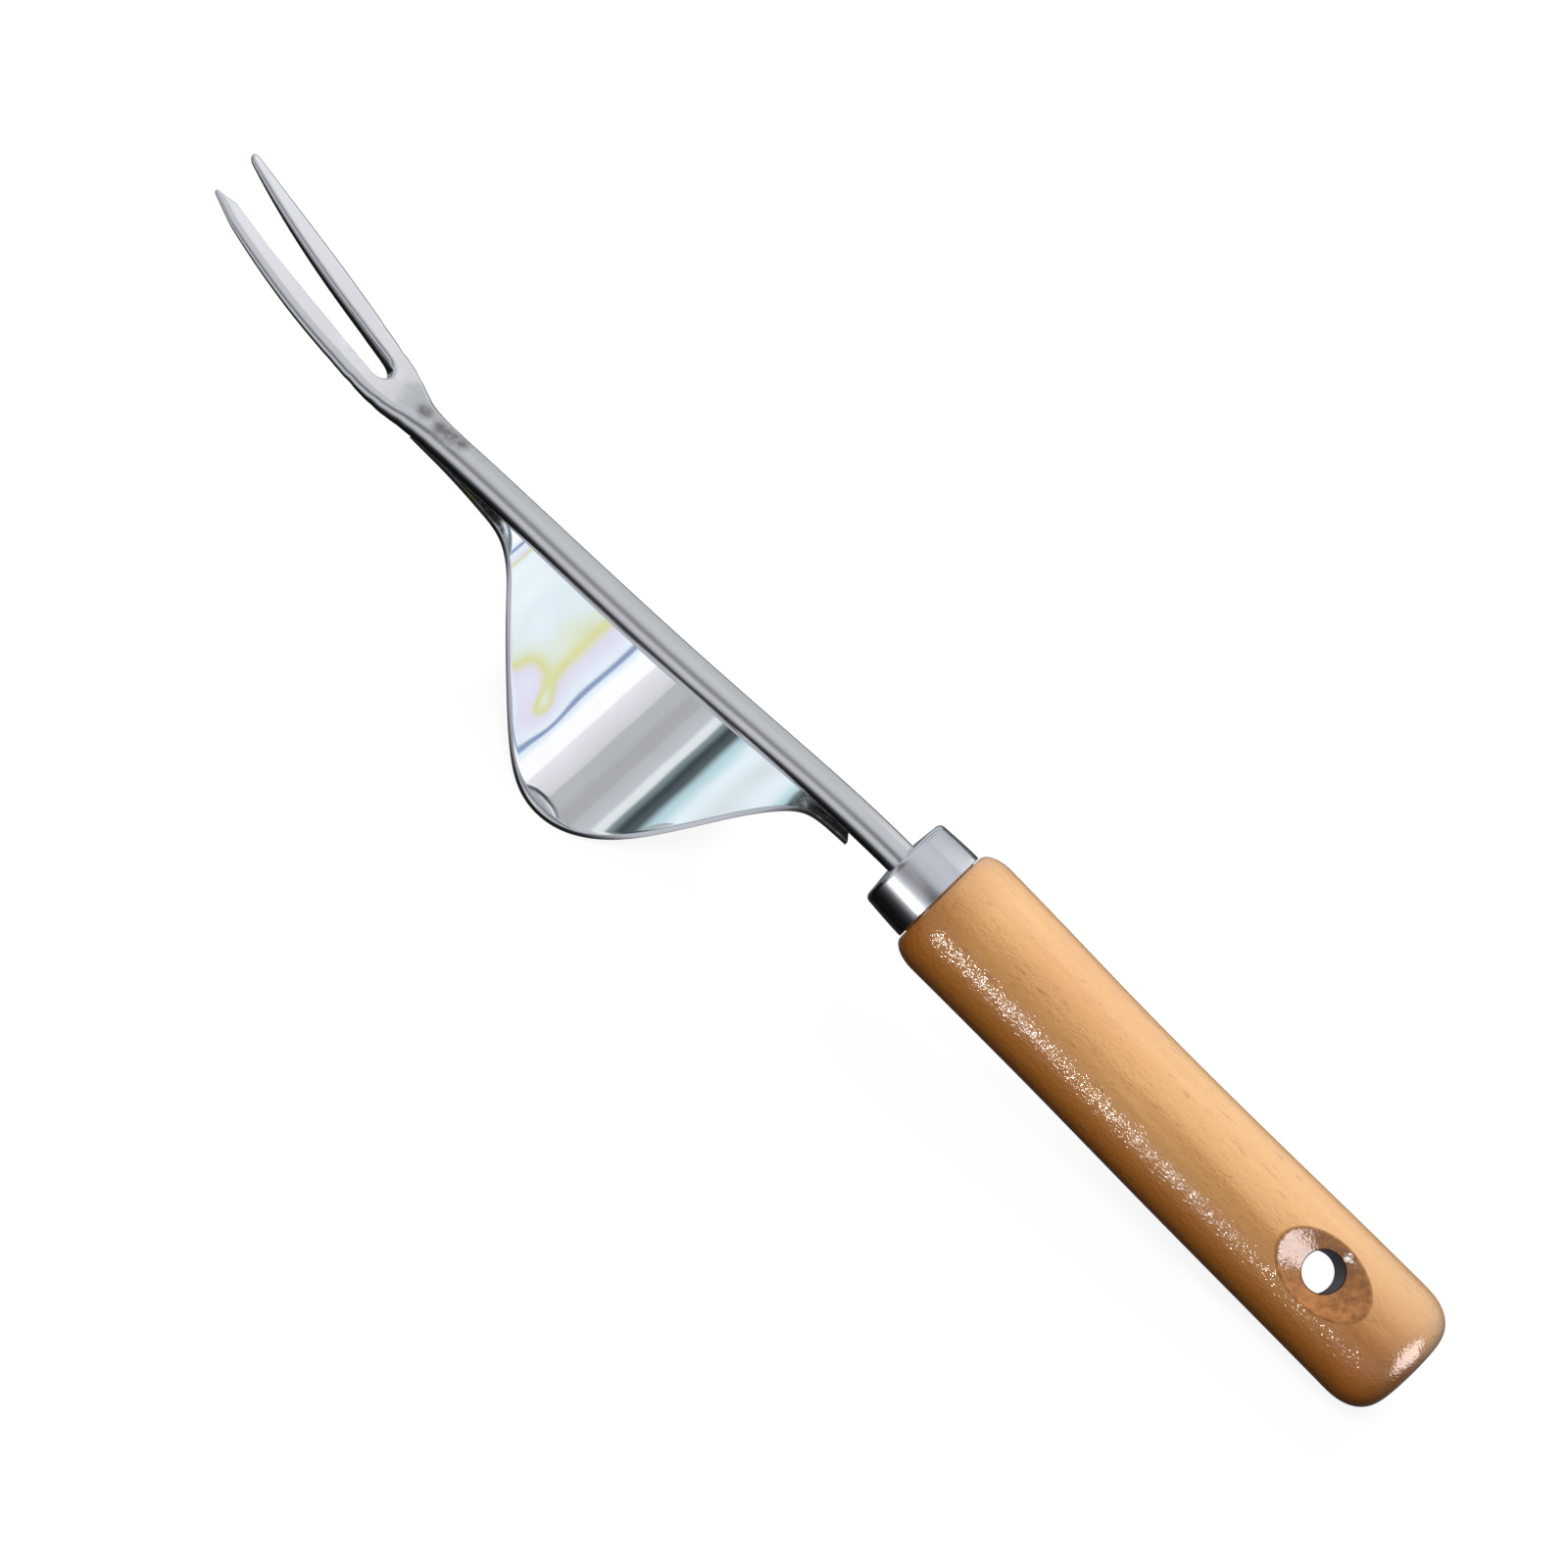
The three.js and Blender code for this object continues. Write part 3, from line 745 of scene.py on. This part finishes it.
# Painted shade on the plate's tabs, close under the bar.
TAB_SHADE = (FRONT_TAB + REAR_TAB, 0.0045, 0.0012, linear(52, 50, 46), 0.4)
STRAW = (TEMPER, 0.0022, 0.001, linear(150, 148, 84), 0.35)
STEEL = steel(
    "polished_steel", (0.94, 0.955, 0.955, 1.0), 0.15, 0.27, (60, 120, 120), 0.00002, 0.0000006, [BURNT]
)
MIRROR = steel(
    "mirror_steel", (0.95, 0.96, 0.975, 1.0), 0.02, 0.05, (40, 50, 50), 0.00001, 0.0000002, [TAB_SHADE, STRAW]
)
BRIGHT = steel("ferrule_steel", (0.92, 0.93, 0.96, 1.0), 0.13, 0.20, (60, 60, 60), 0.000005, 0.0000008)
WELD = plain_surface("weld_metal", (0.42, 0.42, 0.44, 1.0), 1.0, 0.45)
RESIN = plain_surface("cured_resin", linear(206, 176, 120), 0.0, 0.5)

fork_blade(STEEL)
fulcrum_plate(MIRROR)
CAPPED = ferrule(BRIGHT)
WOODEN = handle(WOOD)
for node, material in (("weld_front", WELD), ("weld_rear", WELD), ("tang_glue", RESIN)):
    obj = frame["nodes"][node]
    obj.data.materials.clear()
    obj.data.materials.append(material)

# ---------------------------------------------------------------- studio

FLOOR_REACH = 14.0
FLOOR_DEPTH = 0.0004
DIM = (0.05, 0.045, 0.04, 1)
WHITE = (1, 1, 1, 1)

# The room as soft bands of light: by the angle about the length of the tool, and behind it by the
# angle about its breadth. Angles are degrees from straight up, to +Y and to +X.
ROOM = [
    (-180, 0.01), (-150, 0.02), (-118, 0.25), (-98, 0.40), (-74, 0.38), (-54, 0.46), (-30, 0.55), (0, 0.60),
    (24, 0.56), (38, 0.48), (47, 0.47), (58, 0.49), (66, 0.52), (76, 0.57), (86, 0.60), (102, 0.52), (110, 0.30),
    (119, 0.10), (127, 0.02), (150, 0.004), (180, 0.003),
]
SHADE = [(-180, 1.0), (34, 1.0), (46, 0.42), (58, 0.26), (66, 0.48), (77, 0.95), (180, 1.0)]
BEHIND = [
    (-180, (0.05, 0.05, 0.06)), (-100, (0.30, 0.32, 0.36)), (-80, (0.62, 0.74, 0.85)),
    (-70, (0.88, 0.97, 1.0)), (-65.0, (0.80, 0.91, 0.97)), (-64.6, (0.74, 0.72, 0.24)),
    (-64.2, (0.30, 0.31, 0.34)), (-63.2, (0.80, 0.78, 0.92)), (-58, (0.84, 0.93, 1.0)),
    (-55.5, (0.12, 0.19, 0.40)), (-53.5, (0.80, 0.90, 1.0)), (-48, (1.05, 1.05, 1.05)),
    (-32, (1.05, 1.05, 1.05)), (-27, (0.82, 0.83, 0.87)), (-10, (0.74, 0.74, 0.78)),
    (0, (0.66, 0.67, 0.70)), (3, (0.49, 0.51, 0.53)), (14, (0.48, 0.50, 0.52)),
    (22, (0.42, 0.43, 0.45)), (32, (0.43, 0.44, 0.46)), (36, (0.50, 0.52, 0.54)),
    (48, (0.54, 0.57, 0.60)), (53, (0.80, 0.84, 0.86)), (58, (0.78, 0.83, 0.85)),
    (62, (0.22, 0.28, 0.29)), (70, (0.05, 0.07, 0.08)), (78, (0.09, 0.11, 0.12)),
    (86, (0.50, 0.70, 0.74)), (94, (0.83, 0.93, 0.98)), (104, (0.5, 0.52, 0.55)),
    (180, (0.05, 0.05, 0.06)),
]


def emitter(name, where, target, size, colour, power, diffuse=True, glossy=True):
    light = bpy.data.lights.new(name, "AREA")
    light.shape = "RECTANGLE"
    light.size, light.size_y = size
    light.color = colour
    light.energy = power
    obj = bpy.data.objects.new(name, light)
    obj.location = where
    obj.rotation_euler = (Vector(target) - Vector(where)).to_track_quat("-Z", "Y").to_euler()
    obj.visible_camera = False
    obj.visible_diffuse = diffuse
    obj.visible_glossy = glossy
    bpy.context.scene.collection.objects.link(obj)
    return obj


def only_on(light, objects):
    """Screens the light off from everything but these objects."""
    lit = bpy.data.collections.new(light.name + "_lights")
    for obj in objects:
        lit.objects.link(obj)
    light.light_linking.receiver_collection = lit


def floor():
    mesh = bpy.data.meshes.new("floor")
    r = FLOOR_REACH
    mesh.from_pydata([(-r, -r, 0), (r, -r, 0), (r, r, 0), (-r, r, 0)], [], [(0, 1, 2, 3)])
    obj = bpy.data.objects.new("floor", mesh)
    obj.location = (0, 0, -FLOOR_DEPTH)
    bpy.context.scene.collection.objects.link(obj)
    paint = Nodes(bpy.data.materials.new("floor_paint"))
    paint.shader.inputs["Base Color"].default_value = grey(0.12)
    paint.shader.inputs["Emission Color"].default_value = WHITE
    paint.shader.inputs["Emission Strength"].default_value = 0.9
    paint.shader.inputs["Roughness"].default_value = 0.9
    paint.shader.inputs["Specular IOR Level"].default_value = 0.1
    mesh.materials.append(paint.owner)
    obj.visible_diffuse = False
    obj.visible_glossy = False
    obj.visible_shadow = False


def room():
    world = bpy.data.worlds.new("studio")
    bpy.context.scene.world = world
    n = Nodes(world)

    def bands(angle, stops):
        turn = n.maths("MULTIPLY_ADD", angle, 1 / (2 * math.pi), 0.5)
        coloured = []
        for degrees, value in stops:
            rgb = value if isinstance(value, tuple) else (value * 0.97, value * 0.985, value * 1.02)
            coloured.append((degrees / 360 + 0.5, (*rgb, 1)))
        return n.ramp(turn, coloured, "EASE")

    xyz = n.put("ShaderNodeSeparateXYZ")
    n.link(n.put("ShaderNodeTexCoord").outputs["Generated"], xyz.inputs[0])
    x, y, z = xyz.outputs
    round_length = n.maths("ARCTAN2", y, z)
    # The shade is left out in a narrow doorway, which the shaft mirrors.
    door = n.fade(n.maths("ABSOLUTE", n.maths("SUBTRACT", x, 0.065)), 0.018, 0.04)
    shade = n.mix(door, WHITE, bands(round_length, SHADE))
    front = n.mix(1.0, bands(round_length, ROOM), shade, "MULTIPLY")
    back = bands(n.maths("ARCTAN2", x, z), BEHIND)
    light = n.mix(n.fade(y, -0.35, -0.55), front, back)
    path = n.put("ShaderNodeLightPath")
    light = n.mix(path.outputs["Is Diffuse Ray"], light, DIM)
    n.link(n.mix(path.outputs["Is Camera Ray"], light, WHITE), n.shader.inputs["Color"])
    n.shader.inputs["Strength"].default_value = 1.0


floor()
room()
emitter("key", (0.1, -0.68, 1.08), (0, 0, 0), (0.9, 0.6), (1.0, 0.98, 0.95), 16.5, glossy=False)
emitter("fill", (0.0, 0.66, 1.08), (0, 0, 0), (0.7, 0.4), (1.0, 0.99, 0.97), 12.3, glossy=False)
LOW, AIM = (0.05, 1.15, -0.06), (0.05, 0, 0.03)
window = emitter("window", LOW, AIM, (0.30, 0.055), (1.0, 1.0, 0.95), 5.2, diffuse=False)
glint = emitter("glint", LOW, AIM, (0.30, 0.095), (1.0, 1.0, 0.97), 5.0, diffuse=False)
BESIDE, GRIP_END = (-1.1, 0.14, 0.33), (-0.13, 0, 0.02)
side = emitter("side", BESIDE, GRIP_END, (0.85, 0.75), (1.0, 0.88, 0.88), 26.0, diffuse=False)
only_on(window, [WOODEN])
only_on(glint, [CAPPED])
only_on(side, [WOODEN])

scene = bpy.context.scene
scene.view_settings.view_transform = "Standard"
scene.view_settings.look = "None"

# ---------------------------------------------------------------- camera

# The camera stands far off over the tool's left side, in millimetres and degrees.
THETA = math.radians(45)
DISTANCE = 1400.0
FOOT = 190.0
AIM_STATION, AIM_SIDE = 156.7, 6.0
LEAN = math.radians(134.5138)
VIEW_WIDTH = 300.188
SENSOR = 36


def camera():
    c0 = math.cos(THETA) * TOOL_Z + math.sin(THETA) * TOOL_Y
    side = math.cos(THETA) * TOOL_Y - math.sin(THETA) * TOOL_Z
    aim = TOOL_O + MM * ((LENGTH / 2 - AIM_STATION) * TOOL_X + AIM_SIDE * side)
    eye = TOOL_O + MM * ((LENGTH / 2 - FOOT) * TOOL_X + AIM_SIDE * side + DISTANCE * c0)
    look = (aim - eye).normalized()
    along = (TOOL_X - TOOL_X.dot(look) * look).normalized()
    across = (-look).cross(along)
    right = math.cos(LEAN) * along - math.sin(LEAN) * across
    up = math.sin(LEAN) * along + math.cos(LEAN) * across
    data = bpy.data.cameras.new("camera")
    data.sensor_width = SENSOR
    data.lens = SENSOR * (aim - eye).length / (VIEW_WIDTH * MM)
    data.clip_start, data.clip_end = 0.05, 60
    obj = bpy.data.objects.new("camera", data)
    basis = Matrix((right, up, -look)).transposed()
    obj.matrix_world = Matrix.Translation(eye) @ basis.to_4x4()
    bpy.context.scene.collection.objects.link(obj)
    bpy.context.scene.camera = obj


camera()
